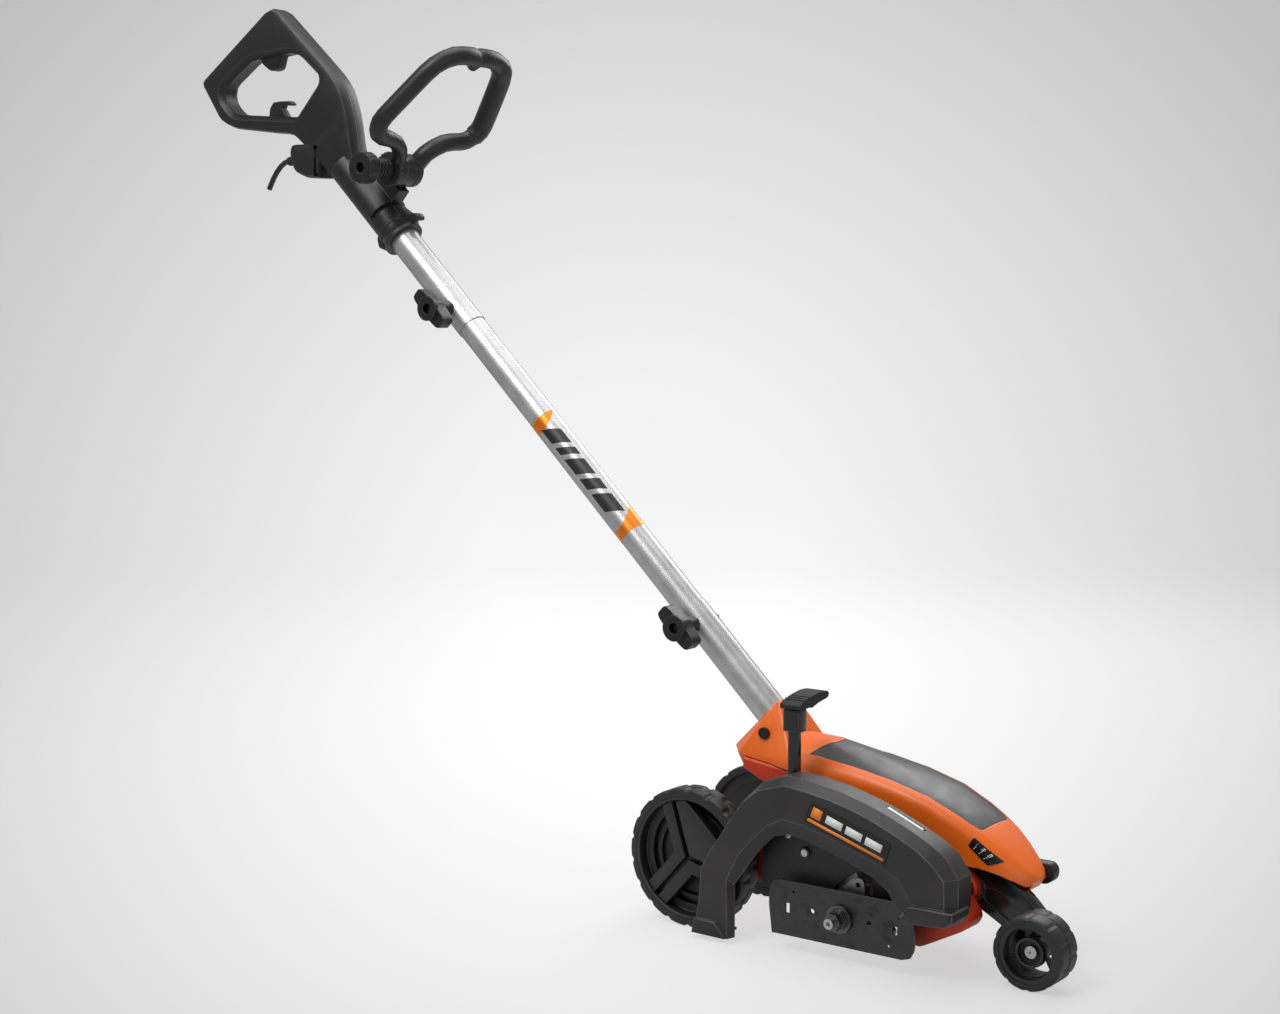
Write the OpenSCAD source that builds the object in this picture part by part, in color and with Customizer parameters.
// Corded walk-behind lawn edger: steel blade behind a side guard, rear wheels,
// depth-setting front wheel, two-stage tube shaft, D-handle and auxiliary loop.
// Frame: +X forward, +Z up, -Y the guard side. Origin on the ground under the
// rear axle, in the mid-plane of the shaft. Millimetres.
// "Near" means towards -Y and "far" towards +Y.

/* [Rear wheels] */
// outside diameter of the rear wheels
rear_d = 166.6; // [165:0.2:167.4]
// tread width
rear_w = 31; // [28:0.5:31]
// how far each spoke pair stands in front of the groove floor
spoke_rise = 12; // [8:1:14]

/* [Front wheel] */
// outside diameter of the front wheel
front_d = 82.2; // [79:0.2:84]
// tread width
front_w = 43; // [38:1:43]

/* [Blade] */
// tip to tip length
blade_len = 190; // [180:1:192]
// sheet thickness
blade_t = 3; // [2:0.5:3]
// height of the bar
blade_h = 64; // [54:1:64]

/* [Drive] */
// gear module
gear_m = 1.5; // [1.5:0.1:1.5]
// pinion teeth
z_pinion = 10; // [10:1:10]
// wheel teeth
z_gear = 40; // [40:1:40]
// face width of the driven gear
gear_w = 10; // [7:0.5:11]

/* [Shaft] */
// outside diameter of the two outer tubes
tube_d = 40; // [40:0.1:40]
// wall of the outer tubes
tube_t = 1.15; // [1.15:0.05:1.15]
// outside diameter of the sliding tube
mid_d = 37.5; // [37.3:0.1:37.5]
// wall of the sliding tube
mid_t = 1.5; // [1.2:0.1:2]
// span of a clamp knob over its wings
wing_span = 60; // [50:1:66]

/* [Handle] */
// half thickness of the D-handle
grip_half = 18; // [17:0.5:19]
// wall of the handle shells
shell_t = 3; // [2.5:0.25:3.5]
// radius of the auxiliary loop grip bar
loop_r = 12.2; // [12:0.2:13.6]

/* [Housing] */
// wall of the top cover
cover_t = 4; // [4:0.1:4.4]
// wall of the guard
guard_t = 3; // [2.5:0.25:3.5]

/* [Hidden] */
$fn = 64;
fit = 0.05;               // running clearance on radius
rear_r = rear_d/2;        // also the axle height
front_r = front_d/2;
tube_r = tube_d/2;
mid_r = mid_d/2;

// centres and outlines in the side view are [X,Z]
axle_pos = [0, rear_r];
spindle_pos = [216, 51];
motor_pos = [205.5, 87];
arm_pos = [340, 90];        // front arm pivot
front_pos = [427.4, front_r];
lever_pos = [133, 130];     // depth lever pivot
crank = [0, 26];            // crank offset shared by lever and arm
lever_crank = lever_pos + crank;
arm_crank = arm_pos + crank;
shaft_origin = [50, 248];   // at the mouth of the socket
shaft_tilt = 46.06;         // lean from vertical
loop_pos = [-545, 911];     // auxiliary loop hub

rear_near_y = [-107, 51];   // -Y faces of the near and far rear wheels
front_tyre_y = -77;         // -Y face of the front tyre

axle_r = 5;
spindle_r = 6;
motor_shaft_r = 4;
spindle_bearing_r = 14;
motor_bearing_r = 11;
lever_pin_r = 4;
crank_pin_r = 3.5;
cross_shaft_r = 7;
front_bolt_r = 4;

// screws: base_screws and knob stations are not side-view centres
base_screws = [[120,-34],[120,34],[300,28]];      // [X,Y], upright
guard_screws = [[157,113],[104,172],[296,136],[322,76]];
case_screws = [spindle_pos+[33,-22], spindle_pos+[-33,-22], motor_pos+[22,18], motor_pos+[-22,18]];
grip_screws = [[-890,1040],[-778,1122],[-650,1010],[-862,1000],[-700,962]];
neck_pos = [-2.5, -22];     // neck bolt, in the shaft frame
lower_knob_pos = [0, 143];  // clamp knobs, in the shaft frame
upper_knob_pos = [0, 691.5];

orange = "#f26c1c";
red = "#d8400e";
charcoal = "#3a3839";
black = "#242424";
knob_black = "#262627";
wheel_black = "#2b2b2b";
tyre_black = "#1b1b1b";
grip_black = "#2f2f30";
steel = "#9a9da0";
aluminium = "#c9ccce";
copper = "#b8622a";

// ---------- construction helpers ----------
function unit(v) = v/norm(v);
function flat(p) = [p[0], p[1]];
function lift(points, z) = [for (q=points) [q[0], q[1], z]];
// outline with its corners rounded; a point's third entry replaces the common radius
function rounded(points, radius=0, steps=3) = [for (i=[0:len(points)-1])
  let(n=len(points), before=flat(points[(i+n-1)%n]), corner=flat(points[i]),
      after=flat(points[(i+1)%n]), wanted=len(points[i])>2 ? points[i][2] : radius,
      reach=min(wanted, 0.45*norm(before-corner), 0.45*norm(after-corner)))
  each (reach<0.05 ? [corner] : [for (j=[0:steps])
    let(q=j/steps, start=corner+unit(before-corner)*reach, end=corner+unit(after-corner)*reach)
    start*(1-q)*(1-q)+corner*2*q*(1-q)+end*q*q])];
// counter-clockwise outline drawn inwards by a distance
function inset(points, distance) = [for (i=[0:len(points)-1])
  let(n=len(points), corner=flat(points[i]),
      edge_in=unit(corner-flat(points[(i+n-1)%n])), edge_out=unit(flat(points[(i+1)%n])-corner),
      normal_in=[-edge_in[1],edge_in[0]], normal_out=[-edge_out[1],edge_out[0]])
  corner + distance*(normal_in+normal_out)/max(0.35, 1+normal_in*normal_out)];
// closed skin through rings of equal point count
module skin(rings) {
  n = len(rings[0]);
  m = len(rings);
  polyhedron(points=[for (r=rings) each r], convexity=8,
    faces=concat([[for (i=[0:n-1]) i]], [[for (i=[n-1:-1:0]) (m-1)*n+i]],
      [for (k=[0:m-2]) for (i=[0:n-1]) let(j=(i+1)%n)
        each [[k*n+i,(k+1)*n+i,(k+1)*n+j],[k*n+i,(k+1)*n+j,k*n+j]]]));
}
// plate of an X,Z outline between two Y planes, edges rounded by near_r and far_r
module slab_y(outline, y0, y1, near_r=0, far_r=0, steps=2)
  rotate([90,0,0]) skin(concat(
    far_r>0 ? [for (j=[0:steps]) let(a=90*j/steps)
        lift(inset(outline,far_r*(1-sin(a))), -y1+far_r*(1-cos(a)))]
      : [lift(outline,-y1)],
    near_r>0 ? [for (j=[0:steps]) let(a=90*j/steps)
        lift(inset(outline,near_r*(1-cos(a))), -y0-near_r*(1-sin(a)))]
      : [lift(outline,-y0)]));
// sharp-edged prism of an X,Z outline
module prism_y(outline, y0, y1)
  translate([0,y1,0]) rotate([90,0,0]) linear_extrude(y1-y0) polygon([for (q=outline) flat(q)]);
module rod_y(pos, y0, y1, r)
  translate([pos[0],y1,pos[1]]) rotate([90,0,0]) cylinder(h=y1-y0, r=r);
module ring_y(pos, y0, y1, outer_r, inner_r) difference() {
  rod_y(pos,y0,y1,outer_r);
  rod_y(pos,y0-1,y1+1,inner_r);
}
// tapered boss between two short rods, each given by its [y0,y1] and radius
module taper_y(pos, span_a, r_a, span_b, r_b) hull() {
  rod_y(pos,span_a[0],span_a[1],r_a);
  rod_y(pos,span_b[0],span_b[1],r_b);
}
module rod_z(pos, z, length, r) translate([pos[0],pos[1],z]) cylinder(h=length, r=r);
// children moved to an X,Z centre and turned about the Y axis there
module at(pos, angle=0) translate([pos[0],0,pos[1]]) rotate([0,angle,0]) children();
// shaft frame: z along the tube, x up and forward across it
module on_shaft(s=0)
  translate([shaft_origin[0],0,shaft_origin[1]]) rotate([0,-shaft_tilt,0])
    translate([0,0,s]) children();
module tube(s0, s1, outer_r, inner_r) on_shaft(s0) difference() {
  cylinder(h=s1-s0, r=outer_r);
  translate([0,0,-1]) cylinder(h=s1-s0+2, r=inner_r);
}

// ---------- top cover ----------
// x, shoulder height, half width, lower edge, shoulder radius, crown
cover_stations = [
  [64,203,46,188,8,20], [100,208,51,187,11,22], [140,206,53.5,188,11,22],
  [188,204,54.5,180,12,13], [240,197,54,168,12,6.5], [287,185,52,152,12,5],
  [324,168,49,132,12,4.5], [345,156,46.8,110,12,4], [361,145,45,99,14,4],
  [375,134,42,90,17,4], [386,124.5,37,84,18,4], [394,117.5,31,89,13,3.5],
  [400,112,24,96,9,2.5], [404,108,15,101,4,1.2], [405.8,106,8,103,1.6,0.4]];
// half width at the lower edge as a share of the full half width
function foot_share(x) = x<350 ? 1 : max(0.7, 1-(x-350)*0.008);
// cover section at a station, depth t below its outer face, from +Y foot to -Y foot
function cover_ring(station, t, dx=0, dz=0) =
  let(x=station[0]+dx, w=station[2]-t, z=station[1]-t, foot=station[3]+dz,
      r=max(2,station[4]-t), crown=station[5], waist=foot+(z-r-foot)*0.45)
  concat([[x,w*foot_share(x),foot],[x,w,waist]],
    [for (a=[0:22.5:90]) let(y=w-r+r*cos(a)) [x,y,z-r+r*sin(a)+crown*(1-pow(y/w,2))]],
    [for (q=[0.66,0.33,0,-0.33,-0.66]) let(y=q*(w-r)) [x,y,z+crown*(1-pow(y/w,2))]],
    [for (a=[90:-22.5:0]) let(y=-(w-r+r*cos(a))) [x,y,z-r+r*sin(a)+crown*(1-pow(y/w,2))]],
    [[x,-w,waist],[x,-w*foot_share(x),foot]]);
module cover_skin(t) skin([for (s=cover_stations) cover_ring(s,t)]);
// hollow of the cover, run out past its rear and lower edges
module cover_void(t) skin([for (s=cover_stations) if (s[0]<396)
  cover_ring(s, t, s[0]<70?-10:0, s[0]>350?18:-25)]);
// strip of the cover wall between two depths, section points first to last, from x0 to x1
module wall_strip(t0, t1, first, last, x0, x1)
  skin([for (s=cover_stations) if (s[0]>=x0 && s[0]<=x1)
    let(a=cover_ring(s,t0), b=cover_ring(s,t1))
    concat([for (i=[first:last]) a[i]], [for (i=[last:-1:first]) b[i]])]);
// socket wedge: x, half width, z of its corners
neck_corners = [[71,17,261.5],[18,21,206],[36,42,205],[72,17,259],[89,12,233],[98,28,213],
  [104,42,203],[18,20,196],[36,42,194],[104,42,192]];
module neck_wedge() hull()
  for (p=neck_corners) for (s=[-1,1]) translate([p[0],s*p[1],p[2]]) sphere(r=5, $fn=12);
// X,Y outline of the insert
insert_outline = [[129,-42],[180,-43.5],[254,-42.5],[300,-40.5],[334,-37.2,6],[349,-33.2,8],
  [349,33.2,8],[334,37.2,6],[300,40.5],[254,42.5],[180,43.5],[129,42],
  [137,28],[146,10],[148,0],[146,-10],[137,-28]];
module insert_prism(gap)
  translate([0,0,60]) linear_extrude(300) polygon(inset(rounded(insert_outline,2),gap));
below_parting = [[-20,60],[-20,210.6],[103,193.7],[140,188],[188,180],[240,168],[287,152],
  [324,132],[345,110],[345,60]];
arm_passage = [[300,40],[300,122],[333,118],[346,116.5],[360,115.6],[376,111.6],
  [391,104.4],[406,94],[420,80],[425,60],[425,40]];
socket_pocket = [[43,183],[43,202],[66,222],[84,219],[97,198],[97,183]];
// the base screw ahead of the others sits lower
function ahead(p) = p[0]>200;

module top_cover() color(orange) let($fn=30) difference() {
  union() {
    difference() {
      union() {
        difference() {
          cover_skin(0);
          intersection() {
            wall_strip(-3,2.2,3,15,100,361);
            insert_prism(0);
          }
        }
        neck_wedge();
      }
      cover_void(cover_t);
      // pockets either side of the solid socket
      for (y=[[-38,-26],[26,38]]) hull() for (q=socket_pocket) rod_y(q,y[0],y[1],3);
    }
    // cover screw bosses
    intersection() {
      cover_skin(2.6);
      for (p=base_screws) hull()
        for (k=[0,1]) rod_z(p, (ahead(p)?149:192.6)+k*50, 1, 5+k*0.8);
    }
  }
  prism_y(below_parting,-80,80);
  // tube bore and cable way
  on_shaft(-42) cylinder(h=120, r=tube_r+fit, $fn=64);
  on_shaft(-90) cylinder(h=100, r=15.5);
  // neck bolt hole and its tapered recesses
  on_shaft() rod_y(neck_pos,-60,60,3.3);
  on_shaft() {
    taper_y(neck_pos,[-38,-36.9],7,[-60,-59],8.2);
    taper_y(neck_pos,[36.9,38],7,[59,60],8.2);
  }
  // passage of the front arm under the near side of the nose
  prism_y(arm_passage,-80,-8);
  for (p=base_screws) rod_z(p, 100, ahead(p)?65:108, 2);
  // seat of the nose tab
  hull() for (z=[88,112]) translate([380.6,21,z]) cube([60,16,4]);
}
module top_insert() color("#2b2c2d") intersection() {
  wall_strip(0.5,2.1,3,15,100,361);
  insert_prism(0.3);
}
module scale_plate() color("#161616") intersection() {
  wall_strip(-0.9,-0.1,10,18,324,394);
  prism_y(rounded([[346,150.5],[340.5,141],[363,121.5],[379,126.5]],1.5),-70,-20);
}
module nose_tab() color(black) difference() {
  slab_y(rounded([[381,92,2],[402,91,6],[411,98,8],[411.5,109,7],[406,115.7,4],[381,115.7,2]],4),
    21.3,36.7,1.5,1.5);
  rod_y([386,103],20,44,2.2);
}

// ---------- base housing ----------
base_outline = [[90,62],[118,42],[150,34],[290,30],[306,40],[322,62],[338,76],[352,86],[352,98],
  [343,109.4],[324,131.2],[287,151.2],[240,167.2],[188,179.2],[140,187.2],[101,193.2],
  [60,198.8],[15,204.9],[16,200],[36,190],[70,175],[78,150],[78,100]];
axle_lug = [[78,62],[100,66],[100,108],[78,112],[8,98,8],[-14,92,8],[-16,76,8],[-4,66,8]];
skid_outline = [[280,44,4],[297,25.5,6],[309,31,6],[355,55,5],[361,66,5],[356,76,6],
  [338,98,6],[290,98,6]];
base_y0 = -50;
base_y1 = 47;
base_wall = 3;
// height of the screw head seat in a base post
function seat_z(p) = ahead(p) ? 120 : 140;

module base_tub() difference() {
  slab_y(rounded(base_outline,3,1), base_y0, base_y1, 2, 2, 1);
  difference() {
    prism_y(inset(base_outline,3.2), base_y0+base_wall, base_y1-base_wall);
    translate([-20,-100,0]) cube([68,200,300]);
  }
  // open top, narrower at the socket
  prism_y([[81,150],[81,260],[340,260],[340,100]], base_y0+base_wall, base_y1-base_wall);
  prism_y([[48,188],[48,260],[110,260],[110,185]], base_y0+6, base_y1-6);
}
module base_housing() color(red) let($fn=16) difference() {
  union() {
    base_tub();
    for (y=[[-60,-49],[36,47]]) prism_y(rounded(axle_lug,4,2), y[0], y[1]);
    // skid in front of the blade, inboard of the guard
    slab_y(rounded(skid_outline,4),-84,base_y0+2,2,0);
    // arm pivot webs
    for (y=[[-44,-36],[-8,0]]) rod_y(arm_pos,y[0],y[1],13);
    // guard standoffs on the near wall
    for (p=guard_screws) taper_y(p,[-88.9,-88],ahead(p)?5:6,[-51,-48],ahead(p)?5.6:6.6);
    // lever pivot boss
    taper_y(lever_pos,[-70,-69],9,[-51,-48],9.8);
    // cover screw posts
    for (p=base_screws) intersection() {
      hull() for (k=[0,1]) rod_z(p, 30+k*(ahead(p)?103:149), 1, 5.6-k*0.6);
      prism_y(inset(base_outline,0.6), base_y0+1, base_y1-1);
    }
    // motor saddle ribs
    for (y=[-22,6]) intersection() {
      difference() {
        translate([160,y,30]) cube([92,4,50]);
        rod_y(motor_pos,y-1,y+5,38.3,$fn=64);
      }
      prism_y(inset(base_outline,1), base_y0+1, base_y1-1);
    }
  }
  // rear corners drawn in towards the socket
  for (s=[-1,1]) translate([0,0,180]) linear_extrude(60)
    polygon([[-5,s*20],[12,s*20],[42,s*46],[42,s*80],[-5,s*80]]);
  rod_y(axle_pos,-70,60,axle_r+fit,$fn=64);
  // gear case opening in the near wall and the room around it
  rod_y(spindle_pos,-90,-46,40);
  rod_y(motor_pos,-90,-46,25);
  prism_y([spindle_pos+[-38,0],spindle_pos+[38,0],motor_pos+[24,0],motor_pos+[-24,0]],-90,-46);
  for (p=case_screws) rod_y(p,-90,-46,7);
  // slot for the front arm
  prism_y([[316,20],[316,118],[360,118],[360,20]],-35.5,-8.5);
  // arm cross shaft
  rod_y(arm_pos,-90,4,cross_shaft_r+fit,$fn=64);
  // screws and lever pin
  for (p=guard_screws) rod_y(p,-95,-60,1.9);
  for (p=base_screws) rod_z(p,20,200,1.9);
  for (p=base_screws) rod_z(p,20,seat_z(p)-20,4.2);
  rod_y(lever_pos,-75,-54,lever_pin_r+fit,$fn=64);
  // motor room
  rod_y(motor_pos,-47,44,39,$fn=64);
  // far side cooling slots
  for (i=[0:5]) translate([172+12*i,40,i%2==0?70:74]) cube([5,12,44]);
}

// ---------- guard ----------
// x, z of the full outline behind the bevel, then x, z of the same corner on the outer face
guard_corners = [
  [26,5,29,8], [77,5,76,6], [77,68,75,77], [97,96,91,108], [115,118,111,131],
  [132,134,130,148], [150,139,150,159], [173,136,178,156], [206,128,214,147],
  [242,116,249,136], [266,106,278,126], [281,95,299,115], [290,82,309,104],
  [299,73,315,92], [313,69,322,80], [364,73,357,80], [368,90,357,94],
  [368,124,356,122], [352,145,341,138], [333,157,325,149], [310,168,305,159],
  [276,182,272,173], [252,190,248,181], [217,199,213,190], [180,205,178,195],
  [150,207,153,198], [118,196,117,187], [94,173,96,170], [76,148,78,146],
  [59,122,62,121], [47,105,50,105], [36,84,39,84], [33,45,36,45]];
guard_full = [for (g=guard_corners) [g[0],g[1]]];
guard_face = [for (g=guard_corners) [g[2],g[3]]];
guard_rim_cut = [[62,-10],[62,70],[88,104],[120,139],[149,145],[174,141],[244,121],[270,110],
  [296,86],[314,76],[345,78],[345,-10]];
guard_inner_wall = [[98,66],[98,170],[120,193],[150,203.5],[180,201.8],[217,195.6],
  [252,186.8],[276,178.8],[310,164.8],[333,153.6],[350,143],[364.5,122.6],[364.5,88],
  [350,76],[306,64],[300,62],[262,58],[170,58],[120,62]];
guard_ledge = [[302,73],[314,68.5,3],[362,72,5],[370,80,4],[370,90,2],[316,89.5,2]];
gear_case_clearance = [[196,60],[196,80],[210,92],[224,102],[236,104],[246,100],[246,60]];

// outer arch with bevelled edges
module guard_arch() difference() {
  rotate([90,0,0]) skin([lift(guard_full,92), lift(guard_full,121), lift(guard_face,133)]);
  rotate([90,0,0]) skin([lift(inset(guard_full,guard_t),80),
    lift(inset(guard_full,guard_t),120), lift(inset(guard_face,1.2),130)]);
  // the blade side rim is only a short flange
  prism_y(guard_rim_cut,-118,-80);
}
module guard() color(charcoal) let($fn=16) difference() {
  union() {
    guard_arch();
    prism_y(guard_inner_wall,-92,-89);
    // ledge across the front of the arch and along the foot
    slab_y(rounded(guard_ledge,1),-138,-100,3,0);
    slab_y([[27,6],[73,5.6],[73,9],[60,24],[31,25]],-136.5,-128,2,0);
    // screw bosses on the inner wall
    for (p=guard_screws) taper_y(p,[-96,-95],6.3,[-90,-89],6.9);
  }
  // room behind the front ledge
  prism_y([[316,75],[364,77],[366,87],[322,86]],-131,-80);
  // clear of the rear wheel
  rod_y(axle_pos,-109.5,-60,rear_r+5);
  // blade sweep
  rod_y(spindle_pos,-117.5,-97,98,$fn=64);
  // clear of the gear case and the depth linkage
  rod_y(spindle_pos,-100,-80,22);
  prism_y(gear_case_clearance,-100,-80);
  for (p=guard_screws) rod_y(p,-110,-80,2.3);
  for (p=guard_screws) taper_y(p,[-94.5,-93.5],4.6,[-110,-109],5.4);
  rod_y(lever_pos,-100,-80,lever_pin_r+fit,$fn=64);
  // seat of the cut line mark
  prism_y([[268,188],[268,176],[316,157],[316,171]],-104,-98);
}
module guard_label() color("#181818")
  prism_y([[189,185],[180,162],[284,129],[291,152]],-133.9,-133.05);
module cutline_strip() color("#f4f4f2") intersection() {
  prism_y([[269,184.3],[269,179.2],[313,159.6],[313,165.9]],-103.8,-98.2);
  prism_y([[250,170],[250,205],[330,205],[330,150]],-110,-90);
}

// ---------- gearbox ----------
gear_y0 = -77;    // near face of the driven gear
// case body around both shafts: radius at the spindle, radius at the motor
module case_body(y0, y1, spindle_side_r, motor_side_r) {
  low = spindle_side_r*0.96-2;
  high = motor_side_r*0.97;
  rod_y(spindle_pos,y0,y1,spindle_side_r);
  rod_y(motor_pos,y0,y1,motor_side_r);
  prism_y([spindle_pos+[-low,10],spindle_pos+[low,10],motor_pos+[high,5],motor_pos+[-high,5]],
    y0,y1);
}
module gearbox_case() color(aluminium) difference() {
  union() {
    case_body(-62,-48.5,37,22);
    intersection() {
      case_body(-62,-54,39,24);
      rod_y([211,69],-62,-54,60);
    }
    for (p=case_screws) rod_y(p,-62,-54,6);
  }
  rod_y(spindle_pos,-70,-53,spindle_bearing_r+fit/2);
  rod_y(motor_pos,-70,-54,motor_bearing_r+fit/2);
  rod_y(motor_pos,-70,-40,6);
  for (p=case_screws) rod_y(p,-70,-40,2.1);
}
cover_ear = [[200,66],[211,84,6],[222,94,8],[230,98,4],[238,96,5],[240,82,5],[236,64]];
module gearbox_cover() color(aluminium) difference() {
  union() {
    case_body(-88,-62.1,36.5,20);
    case_body(-66,-62.1,37.5,23.5);
    rod_y(spindle_pos,-97,-87,19);
    for (p=case_screws) rod_y(p,-70,-62.1,6);
    // ear beside the blade
    prism_y(rounded(cover_ear,2),-100,-95.4);
    prism_y([[212,66],[238,68],[239,88],[226,90]],-96,-86);
    // ribs around the spindle boss
    for (a=[150:30:390]) at(spindle_pos,-a) translate([17,-90.5,-1.5]) cube([4.3,4,3]);
  }
  // gear room
  rod_y(spindle_pos,-84,-60,31.6);
  rod_y(motor_pos,-83,-60,14);
  prism_y([spindle_pos+[-20,20],spindle_pos+[14,22],motor_pos+[13,0],motor_pos+[-13,0]],-83,-60);
  // spindle bearing seat and shaft hole
  rod_y(spindle_pos,-93,-80,spindle_bearing_r+fit/2);
  rod_y(spindle_pos,-100,-80,8.4);
  for (p=case_screws) rod_y(p,-80,-50,2.3);
  rod_y([231,89],-104,-80,3.2);
}
module spindle_bearings() color(steel)
  for (y=[[-61,-53.1],[-92.5,-84.6]])
    ring_y(spindle_pos,y[0],y[1],spindle_bearing_r,spindle_r+fit);
module motor_bearings() color(steel)
  for (y=[[-61,-54.1],[36,42.9]])
    ring_y(motor_pos,y[0],y[1],motor_bearing_r,motor_shaft_r+fit);
module spindle() color(steel) difference() {
  union() {
    rod_y(spindle_pos,-139,-53.2,spindle_r);
    rod_y(spindle_pos,-83.5,-78,9);
  }
  rod_y(spindle_pos,-140,-133,2.6);
}

// ---------- gears ----------
pressure = 20;       // pressure angle
tooth_thinning = 0.08;
profile_shift = 0.4; // added to the pinion, taken from the wheel
function involute(a) = tan(a)*180/PI - a;
// half angle of a tooth at radius r, from its half angle at the pitch circle
function flank(r, base_r, half) =
  half+involute(pressure)-involute(acos(min(1,base_r/r)));
// gear outline, first tooth centred at angle start
function gear_outline(teeth, shift, start) =
  let(pitch_r=gear_m*teeth/2, base_r=pitch_r*cos(pressure),
      tip_r=pitch_r+gear_m*(1+shift)-0.05, root_r=pitch_r-gear_m*(1.25-shift),
      half=(gear_m*(PI/2+2*shift*tan(pressure))-tooth_thinning)/pitch_r*90/PI,
      foot_half=half+involute(pressure), flank_r=max(base_r,root_r))
  polar([for (i=[0:teeth-1]) let(c=start+360*i/teeth) each concat(
    root_r<base_r ? [[root_r, c-foot_half]] : [],
    [for (j=[0:4]) let(r=flank_r+(tip_r-flank_r)*j/4) [r, c-flank(r,base_r,half)]],
    [for (j=[4:-1:0]) let(r=flank_r+(tip_r-flank_r)*j/4) [r, c+flank(r,base_r,half)]],
    root_r<base_r ? [[root_r, c+foot_half]] : [])]);
function polar(points) = [for (q=points) [q[0]*cos(q[1]), q[0]*sin(q[1])]];
mesh_angle = atan2(motor_pos[1]-spindle_pos[1], motor_pos[0]-spindle_pos[0]);

module driven_gear() color("#6d6f72") difference() {
  at(spindle_pos)
    prism_y(gear_outline(z_gear,-profile_shift,mesh_angle+180/z_gear), gear_y0, gear_y0+gear_w);
  rod_y(spindle_pos,-90,-50,spindle_r+fit);
  for (a=[0:60:300]) rod_y(spindle_pos+18*[cos(a),sin(a)],-90,-50,4);
  rod_y(spindle_pos,-84,-76.9,9.2);
}
// motor shaft with the pinion cut on its near end
module armature_shaft() color(steel) {
  rod_y(motor_pos,-66,43,motor_shaft_r);
  at(motor_pos) prism_y(gear_outline(z_pinion,profile_shift,mesh_angle+180),-78,-65.5);
}

// ---------- motor ----------
module cooling_fan() color(black) difference() {
  union() {
    rod_y(motor_pos,-41.5,-39.8,31);
    rod_y(motor_pos,-46.5,-39.8,7);
    for (a=[0:40:320]) at(motor_pos,a)
      translate([11,-46.5,0]) rotate([0,12,0]) cube([18,5.5,1.6]);
  }
  rod_y(motor_pos,-60,-20,motor_shaft_r+fit);
}
module armature_core() color("#7c7f83") difference() {
  rod_y(motor_pos,-30,12,23);
  rod_y(motor_pos,-60,20,motor_shaft_r+fit);
  // winding slots and their narrow mouths
  for (a=[15:30:345]) at(motor_pos,a) {
    translate([16,-60,-2.4]) cube([5.4,90,4.8]);
    translate([20,-60,-1]) cube([5,90,2]);
  }
}
module commutator() color(copper) difference() {
  rod_y(motor_pos,20.5,33,11.5);
  rod_y(motor_pos,10,40,motor_shaft_r+fit);
  for (a=[0:30:330]) at(motor_pos,a) translate([9.5,10,-0.4]) cube([5,30,0.8]);
}
pole_x = 24;   // offset of the field coils either side of the motor axis
module stator_core() color("#8a8d90") difference() {
  rod_y(motor_pos,-30,12,37.5);
  rod_y(motor_pos,-40,20,23.7);
  for (sx=[-1,1]) for (sz=[-1,1])
    at(motor_pos) translate([sx*pole_x-4.6,-40,sz*15.5-3.5]) cube([9.2,60,7]);
}
module field_coils() color(copper) for (sx=[-1,1]) at(motor_pos+[sx*pole_x,0]) difference() {
  translate([-4.2,-38,-18.6]) cube([8.4,57,37.2]);
  translate([-6,-31,-12.4]) cube([12,44,24.8]);
}
module motor_frame() color(black) difference() {
  union() {
    rod_y(motor_pos,35,43.6,14.5);
    difference() {
      rod_y(motor_pos,39,43.6,37.5);
      for (a=[45:90:315]) rod_y(motor_pos+25*[cos(a),sin(a)],30,50,7.5);
    }
    // brush holders
    for (sx=[-1,1]) at(motor_pos) translate([sx*25-12,20,-6]) cube([24,20,12]);
  }
  rod_y(motor_pos,33,43,motor_bearing_r+fit/2);
  rod_y(motor_pos,15,36,12.5);
  for (sx=[-1,1]) at(motor_pos) translate([sx*24-14,22.5,-3.6]) cube([28,9,7.2]);
}
module carbon_brushes() color("#2a2a2c") for (sx=[-1,1]) difference() {
  at(motor_pos) translate([sx*22-10,22.7,-3.4]) cube([20,8.6,6.8]);
  rod_y(motor_pos,17.7,47.7,11.7);
}

// ---------- blade ----------
blade_y1 = -110.4;   // far face of the blade
tip_x = blade_len/2;
edge_z = blade_h/2;
// half of the bar about the spindle, repeated turned by 180 degrees
blade_half = [[-tip_x+4,-edge_z],[tip_x-16,-edge_z],[tip_x-6,-edge_z+3],
  [tip_x-1.5,-edge_z+11],[tip_x,-edge_z+20],[tip_x,0]];
module blade() color("#4a4b4d") difference() {
  prism_y([for (m=[1,-1]) each [for (q=blade_half) spindle_pos+m*q]], blade_y1-blade_t, blade_y1);
  rod_y(spindle_pos,-130,-100,spindle_r+fit);
  for (m=[-1,1]) {
    at(spindle_pos) translate([m*70-3,-120,-6]) cube([6,20,12]);
    rod_y(spindle_pos+[m*37,2],-120,-100,3);
    rod_y(spindle_pos+[m*62,-m*20],-120,-100,1.8);
  }
}
module inner_flange() color("#505255") difference() {
  union() {
    rod_y(spindle_pos,-110.3,-105,17);
    rod_y(spindle_pos,-105,-98,12);
  }
  rod_y(spindle_pos,-120,-90,spindle_r+fit);
}
module outer_flange() color("#3c3d3f") difference() {
  union() {
    rod_y(spindle_pos,-118,-113.6,16);
    rod_y(spindle_pos,-121.4,-117,12.5);
  }
  rod_y(spindle_pos,-130,-100,spindle_r+fit);
}
module blade_nut() color("#55585b") difference() {
  union() {
    rod_y(spindle_pos,-132,-122,10.9,$fn=6);
    rod_y(spindle_pos,-124,-121.5,12);
  }
  rod_y(spindle_pos,-140,-110,spindle_r+fit);
}

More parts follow.
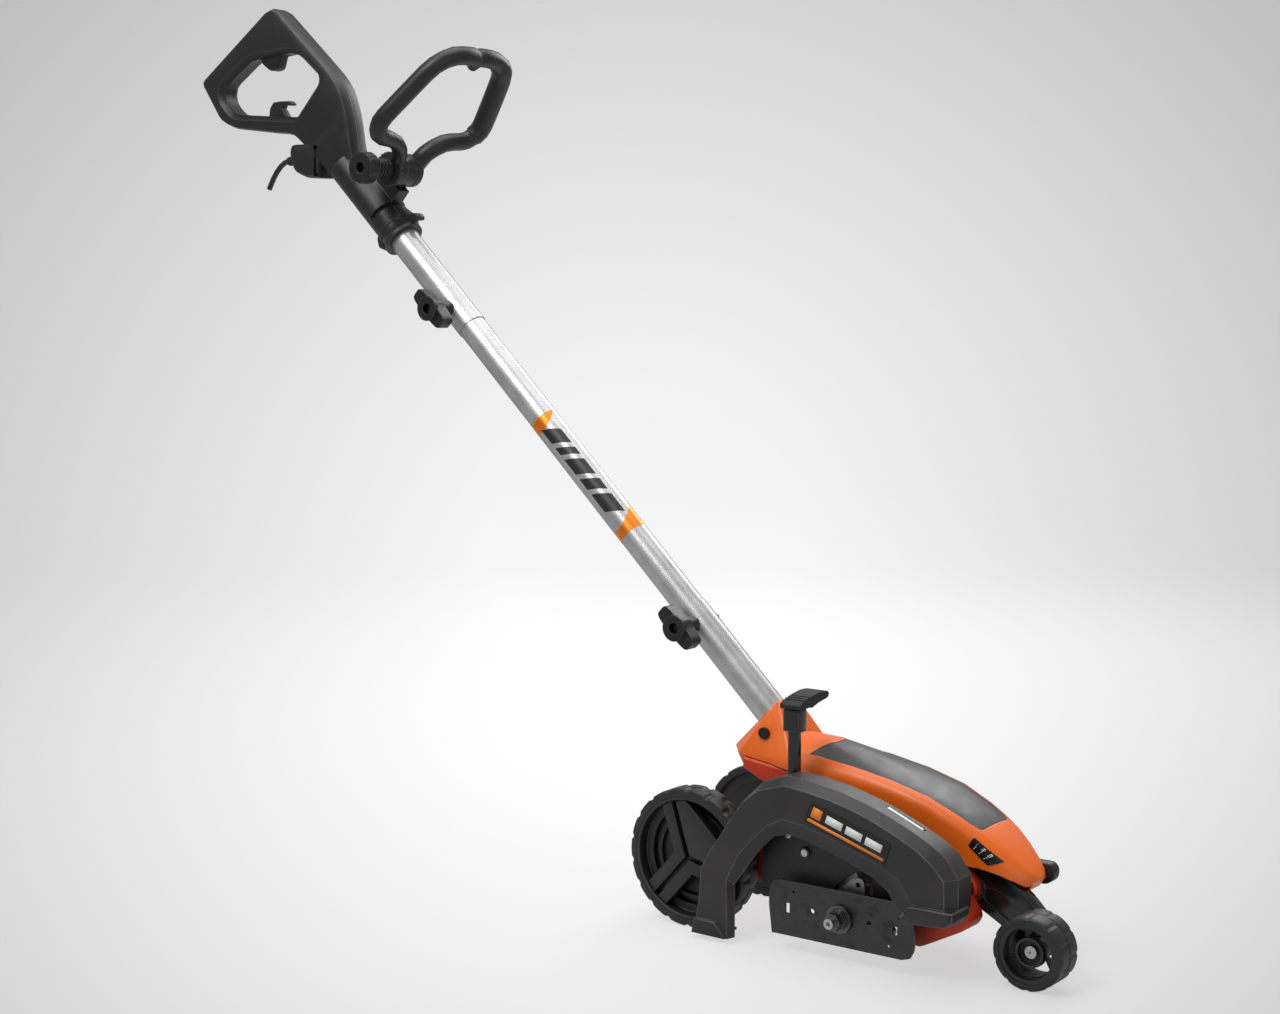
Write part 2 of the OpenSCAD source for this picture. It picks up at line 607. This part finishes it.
// ---------- depth setting ----------
lever_outline = [[127,120],[139,120],[142,130],[140,142],[139.5,252],[126.5,252],
  [126,142],[124,130]];
module depth_lever() color("#2e2e2f") let($fn=32) difference() {
  union() {
    slab_y(lever_outline,-84.5,-76,1,1);
    rod_y(lever_pos,-86,-70.4,9);
    rod_y(lever_crank,-77,-62,crank_pin_r);
    slab_y(rounded([[122,249,2],[144,249,2],[144,275],[122,275]],2),-89,-71,2,2);
    translate([124,-86.5,270]) cube([18,13,7.9]);
  }
  rod_y(lever_pos,-100,-60,lever_pin_r+fit);
}
// Y,Z section of the grip
grip_section = [[-91,275.5],[-69.5,276.5],[-66,275],[-52,279],[-32,282,3],[-28,285.5,3],
  [-31,290,4],[-46,291.5,8],[-66,289,8],[-84,285.5,5],[-92,281,4]];
module lever_grip() color("#1f1f20") difference() {
  translate([120,0,0]) rotate([90,0,90]) linear_extrude(27) polygon(rounded(grip_section,2));
  // grooves across the top
  for (y=[-84,-78,-72]) translate([116,y,284.2+(y+84)*0.22]) cube([34,2.4,6]);
  for (y=[-44,-38]) translate([116,y,289.6]) cube([34,2.4,6]);
  // socket for the lever head
  translate([123.8,-86.8,262]) cube([18.4,13.6,16.2]);
  translate([121.8,-89.2,262]) cube([22.4,18.4,13.15]);
}
module lever_pin() color(steel) {
  rod_y(lever_pos,-93.5,-55,lever_pin_r);
  ring_y(lever_pos,-88.6,-87,7,lever_pin_r);
}
module link_rod() color(steel) difference() {
  union() {
    for (p=[lever_crank,arm_crank]) rod_y(p,-68.5,-64.5,8);
    prism_y([lever_crank-[0,5],arm_crank-[0,5],arm_crank+[0,5],lever_crank+[0,5]],-68.5,-64.5);
  }
  rod_y(lever_crank,-80,-50,crank_pin_r+fit);
  rod_y(arm_crank,-80,-50,4.1);
}
arm_outline = [[326,98,8],[328,78,8],[340,70,8],[356,62,8],[374,52,10],[398,38,10],[417,27,10],
  [432,27,8],[441,37,8],[441,50,8],[431,63,10],[417,78,10],[404,91,10],[389,101.5,10],
  [374,108.5,10],[359,112,8],[345,112,8],[333,108,8]];
arm_recess = [[352,78,6],[372,66,6],[392,54,6],[404,50,6],[402,64,6],[388,80,6],
  [366,92,6],[352,92,6]];
module front_arm() color("#1c1c1e") difference() {
  union() {
    slab_y(rounded(arm_outline,8,2),-32,-12,2.5,2.5);
    rod_y(arm_pos,-33.5,-10.5,14);
    // cross shaft and crank
    rod_y(arm_pos,-75,-2,cross_shaft_r);
    prism_y([arm_pos-[7,0],arm_pos+[7,0],arm_crank+[5,0],arm_crank-[5,0]],-87,-84.5);
    rod_y(arm_pos,-87,-74,cross_shaft_r);
    rod_y(arm_crank,-87,-62,crank_pin_r);
    rod_y(arm_crank,-87,-84.5,6);
    rod_y(front_pos,-33.4,-11,10);
  }
  rod_y(front_pos,-60,0,front_bolt_r+fit);
  // lightening recess on the near face
  slab_y(rounded(arm_recess,4),-36,-29.5);
}

// ---------- wheels ----------
front_rim_r = 34;
module front_axle_bolt() color(steel) difference() {
  union() {
    rod_y(front_pos,-64,-6,front_bolt_r);
    rod_y(front_pos,-67,-63,7);
    rod_y(front_pos,-10.8,-6,7.5);
  }
  rod_y(front_pos,-70,-65,2.2);
}
module front_wheel() color("#262626") difference() {
  union() {
    ring_y(front_pos,-76,-35,front_rim_r,29);
    ring_y(front_pos,-64.5,-61,30,11);
    rod_y(front_pos,-62.5,-35.5,11.5);
    ring_y(front_pos,-70,-62,16.5,14);
  }
  rod_y(front_pos,-80,-20,front_bolt_r+fit);
  rod_y(front_pos,-80,-62.4,9);
  // three kidney openings in the web
  for (a=[30:120:270]) at(front_pos,a) difference() {
    ring_y([0,0],-66,-58,26.5,17.2);
    translate([-40,-70,-80]) cube([80,20,88]);
    translate([-60,-70,-60]) cube([49,20,120]);
    translate([22,-70,-60]) cube([49,20,120]);
  }
  for (a=[0:45:315]) at(front_pos,a) translate([9.4,-71,-0.8]) cube([2,6,1.6]);
}
// tread notches, staggered between the two edges of the tyre
module tread(pos, r, y0, y1, count, depth, notch_w) for (i=[0:count-1]) at(pos,i*360/count) {
  length = (y1-y0)*0.42;
  translate([r-depth, y0-1, -notch_w/2]) cube([depth+3,length,notch_w]);
  rotate([0,180/count,0]) translate([r-depth, y1-length+1, -notch_w/2])
    cube([depth+3,length,notch_w]);
}
// tyre with edges stepped in by chamfer
module tyre(pos, r, y0, y1, chamfer, inner_r) {
  ring_y(pos,y0+chamfer,y1-chamfer,r,inner_r);
  ring_y(pos,y0,y1,r-chamfer,inner_r);
}
module front_tyre() color("#191919") difference() {
  tyre(front_pos,front_r,front_tyre_y,front_tyre_y+front_w,1.5,front_rim_r+fit);
  tread(front_pos,front_r,front_tyre_y,front_tyre_y+front_w,10,1.2,9);
}
// side is -1 for the near wheel, +1 for the far; a and b are depths from the outer face
module rear_hub(side) {
  outer = side<0 ? rear_near_y[0] : rear_near_y[1]+rear_w;
  function low(a, b) = min(outer-side*a, outer-side*b);
  function high(a, b) = max(outer-side*a, outer-side*b);
  module ring(a, b, outer_r, inner_r) ring_y(axle_pos,low(a,b),high(a,b),outer_r,inner_r);
  module plate(a, b, outline) prism_y(outline,low(a,b),high(a,b));
  module rod(a, b, r) rod_y(axle_pos,low(a,b),high(a,b),r);
  difference() {
    union() {
      ring(1,rear_w-1,rear_r-9,rear_r-14);
      ring(10,13,rear_r-13,rear_r-27);
      rod(4,rear_w,13);
      // three spokes, each a grooved floor between two raised bars
      for (a=[108:120:348]) at(axle_pos,-a) {
        plate(16-spoke_rise*0.2,19,[[0,-9],[rear_r-13,-9],[rear_r-13,9],[0,9]]);
        for (m=[-1,1]) plate(3,3+spoke_rise,
          [[9,m*5],[rear_r-15,m*5],[rear_r-16,m*24],[14,m*24]]);
      }
      // ribs on the inner side
      for (a=[0:30:330]) at(axle_pos,-a)
        plate(18.4,rear_w-2,[[11,-1],[rear_r-11.5,-1],[rear_r-11.5,1],[11,1]]);
      ring(18,rear_w-3,46,44);
    }
    rod(12,rear_w+5,axle_r+fit);
  }
}
module rear_tyre(side) {
  y0 = rear_near_y[side<0 ? 0 : 1];
  y1 = y0+rear_w;
  difference() {
    tyre(axle_pos,rear_r,y0,y1,2,rear_r-9+fit);
    tread(axle_pos,rear_r,y0,y1,15,1.6,13);
  }
}
module rear_wheel_right() color(wheel_black) rear_hub(-1);
module rear_wheel_left() color(wheel_black) rear_hub(1);
module rear_tyre_right() color(tyre_black) rear_tyre(-1);
module rear_tyre_left() color(tyre_black) rear_tyre(1);
module rear_axle() color(steel) rod_y(axle_pos,-94.5,69.5,axle_r);

// ---------- fasteners on the head ----------
module housing_screws() color(steel) {
  for (p=guard_screws) {
    rod_y(p,-93.4,-64,1.8);
    rod_y(p,-96.2,-93.5,4.2);
  }
  for (p=base_screws) {
    rod_z(p, seat_z(p)+0.2, ahead(p)?40:54, 1.8);
    rod_z(p, seat_z(p)-3.2, 3.1, 4);
  }
}
module neck_bolt() color("#2a2a2a") on_shaft() {
  rod_y(neck_pos,-41.5,41.5,3.1);
  rod_y(neck_pos,-42,-37,6.5);
  rod_y(neck_pos,37,42,6.4,$fn=6);
}

// ---------- shaft ----------
knob_hole_r = 3.7;
module lower_tube() color(aluminium) difference() {
  tube(-40,163,tube_r,tube_r-tube_t);
  on_shaft() {
    rod_y(neck_pos,-40,40,3.3);
    rod_y(lower_knob_pos,-40,40,knob_hole_r);
  }
}
module mid_tube() color(aluminium) difference() {
  tube(70,762,mid_r,mid_r-mid_t);
  on_shaft() rod_y(lower_knob_pos,-40,40,knob_hole_r);
}
module upper_tube() color(aluminium) difference() {
  tube(656,868,tube_r,tube_r-tube_t);
  on_shaft() rod_y(upper_knob_pos,-40,0,knob_hole_r);
}
module tube_decal() color("#f07a1e") on_shaft(288) difference() {
  cylinder(h=199, r=mid_r+0.22);
  translate([0,0,-1]) cylinder(h=201, r=mid_r+0.04);
  translate([-60,-8,-1]) cube([42,40,201]);
  translate([-18.1,4,-1]) cube([60,40,201]);
}
module inner_cable() color("#1a1a1a") on_shaft(-60) translate([9,0,0]) cylinder(h=790, r=3.2);
// wing outline about the knob centre, wings lying along the tube: x, s, corner radius
half_span = wing_span/2;
wing_outline = [[-11,-8,5],[-9.5,6-half_span,5],[-7,-half_span,5],[7,-half_span,5],
  [9.5,6-half_span,5],[11,-8,5],[15,0,8],[11,8,5],[9.5,half_span-6,5],[7,half_span,5],
  [-7,half_span,5],[-9.5,half_span-6,5],[-11,8,5],[-15,0,8]];
// wing knob with a recessed hub
module wing_knob(pos) on_shaft() difference() {
  union() {
    rod_y(pos,-56,-21.5,10.5);
    rod_y(pos,-61,-55.9,16);
    at(pos) prism_y(rounded(wing_outline,4,2),-57,-39);
  }
  rod_y(pos,-70,-51,7);
}
module lower_knob() color(knob_black) {
  wing_knob(lower_knob_pos);
  on_shaft() rod_y(lower_knob_pos,-54,27,3.4);
}
module upper_knob() color(knob_black) {
  wing_knob(upper_knob_pos);
  on_shaft() rod_y(upper_knob_pos,-54,-18.83,3.3);
}
module lower_saddles() color(knob_black) on_shaft() difference() {
  union() {
    rod_y(lower_knob_pos,-21.3,-10,9);
    rod_y(lower_knob_pos,10,24.5,9);
    rod_y(lower_knob_pos,23,28,8,$fn=6);
  }
  translate([0,0,60]) cylinder(h=200, r=tube_r+fit);
  rod_y(lower_knob_pos,-40,40,knob_hole_r);
}
module upper_saddle() color(knob_black) on_shaft() difference() {
  rod_y(upper_knob_pos,-21.3,-10,9);
  translate([0,0,600]) cylinder(h=200, r=tube_r+fit);
  rod_y(upper_knob_pos,-40,0,knob_hole_r);
}

// ---------- D-handle ----------
handle_outline = rounded([[-773,1144,16],[-920,1046,9],[-880,989,9],[-851,978,8],[-766,968,10],
  [-736,966,12],[-708,944,10],[-632,880,3],[-611,901,3],[-622,935,14],[-631,990,16],
  [-644,1025,16],[-662,1046,14]],8,2);
window_outline = rounded([[-875,1019,8],[-853,998,10],[-746,990,4],[-729,989,4],[-686,1033,6],
  [-686,1042,6],[-724,1073,8],[-744,1077,6],[-820,1071,12],[-875,1037,8]],5,2);
// flare of the window: depth from the near face, inset
window_flare = [[-1,-8.5],[3,-3],[8,0],
  [2*grip_half-8,0],[2*grip_half-3,-3],[2*grip_half+1,-8.5]];
inlet_seat = [[-684,951,2],[-738,951.5,4],[-742,944,4],[-741.5,930,4],[-733,914,6],
  [-711,905,6],[-684,904,2]];
hook_outline = [[-792,995],[-762,992],[-762,998],[-767,1003],[-764,1007.5],[-750,1006],
  [-746,1008],[-752,1012.5],[-772,1013],[-784,1012],[-791,1004]];
// in the shaft frame, measured from s = 800
front_tab = [[21,22,1],[29,22,1],[31,26,3],[39,18,3],[44,22,4],[42,30,4],[34,35,3],
  [30,50,4],[29,58,2],[21,66,2]];
rear_tab = [[-21,58,1],[-29,56,3],[-36,45,3],[-29,30,3],[-21,24,1]];
// bar along X on the cord inlet axis
module inlet_rod(x, length, r, end_r=undef)
  translate([x,0,930]) rotate([0,90,0])
    cylinder(h=length, r1=r, r2=is_undef(end_r) ? r : end_r);
module handle_body(side) intersection() {
  union() {
    slab_y(handle_outline,-grip_half,grip_half,7,7,2);
    // collar around the tube
    on_shaft(824) cylinder(h=144, r=25);
    on_shaft(822) cylinder(h=5, r=28);
    on_shaft(826.9) cylinder(h=6, r1=28, r2=25);
    on_shaft(842) cylinder(h=3, r=26.2);
    slab_y(rounded(hook_outline,1,1),-5,5,1,1);
    on_shaft(800) {
      slab_y(rounded(front_tab,2),-8,8,1.5,1.5);
      slab_y(rounded(rear_tab,2),-7,7,1.5,1.5);
    }
    slab_y(rounded(inlet_seat,4),-19,19,8,8,3);
  }
  translate([-1000,side<0?-60:0.04,700]) cube([500,60-0.04,600]);
}
module handle_cuts() {
  // hand window, flared to both faces
  rotate([90,0,0]) skin([for (k=window_flare) lift(inset(window_outline,k[1]),k[0]-grip_half)]);
  // hollow frame
  difference() {
    prism_y(inset(handle_outline,shell_t),-grip_half+shell_t,grip_half-shell_t);
    prism_y(inset(window_outline,-shell_t-5),-40,40);
    for (p=grip_screws) rod_y(p,-40,40,4.2,$fn=16);
    on_shaft(818) cylinder(h=145, r=24.9);
  }
  on_shaft(810) cylinder(h=60, r=tube_r+fit, $fn=64);
  on_shaft(860) cylinder(h=95, r=16.6);
  on_shaft(873) cylinder(h=82, r=21.6);
  for (p=grip_screws) rod_y(p,-12,40,1.9);
  for (p=grip_screws) rod_y(p,10,40,3.9);
  // trigger opening in the window wall
  prism_y([[-812,1052],[-803,1090],[-745,1104],[-742,1082],[-757,1078],[-770,1050]],-9.6,9.6);
  // cable way from the inlet
  prism_y([[-690,940],[-736,940],[-736,920],[-728,915],[-690,914]],-11,11);
  inlet_rod(-752,80,6.6);
}
module handle_shell(side) difference() {
  handle_body(side, $fn=24);
  handle_cuts($fn=24);
}
module handle_shell_right() color(grip_black) handle_shell(-1);
module handle_shell_left() color(grip_black) handle_shell(1);
module handle_screws() color(steel) for (p=grip_screws) {
  rod_y(p,-10,10.5,1.8);
  rod_y(p,10.4,13.4,3.7);
}
trigger_outline = [[-806,1086,4],[-802,1066,4],[-785,1054.5,5],[-772,1057,4],[-764,1078],
  [-748,1086,5],[-747,1100,4],[-757,1102,4],[-782,1094,3]];
module trigger() color("#232324") difference() {
  slab_y(rounded(trigger_outline,3,2),-8.8,8.8,2,2);
  rod_y([-752,1094],-20,20,2+fit);
}
module switch_module() color("#3b3b3d")
  prism_y([[-813,1099],[-807,1096],[-790,1103],[-775,1109.5],[-783,1116.5],[-800,1107.5]],-8,8);
module cord_inlet() color("#2a2a2b") difference() {
  union() {
    inlet_rod(-760,34,5.4,6.5);
    inlet_rod(-735.5,4,9.6);
    for (x=[-757,-752.5,-748]) inlet_rod(x,2,6.4);
  }
  inlet_rod(-766,60,3.8);
}
cord_r = 3.7;
// x, z, slope of the cord in degrees
cord_stations = [[-700,930,0],[-760.2,930,0],[-767,928.6,22],[-775,924,36],[-783,917,46],
  [-790,908.5,53],[-796,899.5,58],[-800,892.5,61]];
module power_cord() color("#1e1e1f") rotate([90,0,0]) skin([for (q=cord_stations)
  [for (j=[0:15]) let(c=cord_r*cos(22.5*j), z=cord_r*sin(22.5*j))
    [q[0]+c*sin(q[2]), q[1]-c*cos(q[2]), z]]]);

// ---------- auxiliary loop ----------
// half loops in the loop frame: sideways, distance from the hub, corner radius
loop_far = rounded([[0,0],[16,0],[22,30,10],[44,52,16],[86,56,18],[99,76,16],[84,128,30],
  [68,176,30],[40,192.6,26],[0,193.4]],8,2);
loop_near = rounded([[0,0],[16,0],[22,27,10],[43,47,16],[86,55,18],[97.5,76,16],[82,126,30],
  [66,174,30],[40,192.6,26],[0,193.4]],8,2);
function far_bar_r(q) = q[1]>185 ? loop_r : q[1]<66 ? 12 : 13.8;
function near_bar_r(q) = q[1]>185 ? loop_r : q[0]<60 && q[1]<60 ? 10.4 : 11.8;
// y, distance from the hub, bar radius
loop_path = concat([[18.5,2,12.5],[19.5,14,12.5]],
  [for (q=loop_far) if (q[1]>24) [q[0],q[1],far_bar_r(q)]],
  [for (i=[len(loop_near)-2:-1:0]) let(q=loop_near[i]) if (q[1]>24) [-q[0],q[1],near_bar_r(q)]],
  [[-19.5,14,10.4],[-18.5,2,10.4]]);
// rings of a round bar swept along a plane path
function bar_rings(path, n=14) = [for (i=[0:len(path)-1])
  let(p=path[i], along=unit(flat(path[min(len(path)-1,i+1)])-flat(path[max(0,i-1)])),
      across=[-along[1],along[0]])
  [for (j=[n-1:-1:0]) let(c=p[2]*cos(360*j/n), s=p[2]*sin(360*j/n))
    [p[1]+c*across[1], p[0]+c*across[0], s]]];
module on_loop() at(loop_pos,-46.45) children();

module aux_handle() color("#2a2a2a") difference() {
  union() {
    on_loop() skin(bar_rings(loop_path));
    for (y=[[-27,-10.4],[10.4,19]]) rod_y(loop_pos,y[0],y[1],22);
    for (a=[0:15:345]) at(loop_pos,a) translate([21,-27,-1.4]) cube([2.2,5,2.8]);
  }
  rod_y(loop_pos,-40,40,4.2);
  rod_y(loop_pos,-45,-27.2,14.5);
  on_loop() translate([-40,-10.3,-40]) cube([72,20.6,80]);
}
module aux_bracket() color("#2c2c2d") difference() {
  union() {
    rod_y(loop_pos,-10,10,21.5);
    on_loop() translate([-48,-10,-22]) cube([30,20,40]);
    on_shaft(868) difference() {
      cylinder(h=48, r=30);
      translate([-60,-40,-1]) cube([56,80,70]);
    }
  }
  on_shaft(800) cylinder(h=200, r=25.1);
  rod_y(loop_pos,-40,40,4.2);
}
module aux_knob() color("#242425") difference() {
  union() {
    rod_y(loop_pos,-80,-62,20);
    rod_y(loop_pos,-63,-27.3,12);
    rod_y(loop_pos,-60,32,4);
    for (a=[0:24:336]) at(loop_pos,a) translate([19,-78,-1.6]) cube([2,14,3.2]);
    for (y=[-58:6:-34]) rod_y(loop_pos,y,y+3,14);
  }
  rod_y(loop_pos,-84,-70,8.2,$fn=6);
}

top_cover();
top_insert();
scale_plate();
nose_tab();
base_housing();
guard();
guard_label();
cutline_strip();
gearbox_case();
gearbox_cover();
spindle_bearings();
motor_bearings();
spindle();
driven_gear();
armature_shaft();
cooling_fan();
armature_core();
commutator();
stator_core();
field_coils();
motor_frame();
carbon_brushes();
blade();
inner_flange();
outer_flange();
blade_nut();
depth_lever();
lever_grip();
lever_pin();
link_rod();
front_arm();
front_axle_bolt();
front_wheel();
front_tyre();
rear_wheel_right();
rear_wheel_left();
rear_tyre_right();
rear_tyre_left();
rear_axle();
housing_screws();
neck_bolt();
lower_tube();
mid_tube();
upper_tube();
tube_decal();
inner_cable();
lower_knob();
lower_saddles();
upper_saddle();
upper_knob();
handle_shell_right();
handle_shell_left();
handle_screws();
trigger();
switch_module();
cord_inlet();
power_cord();
aux_bracket();
aux_handle();
aux_knob();
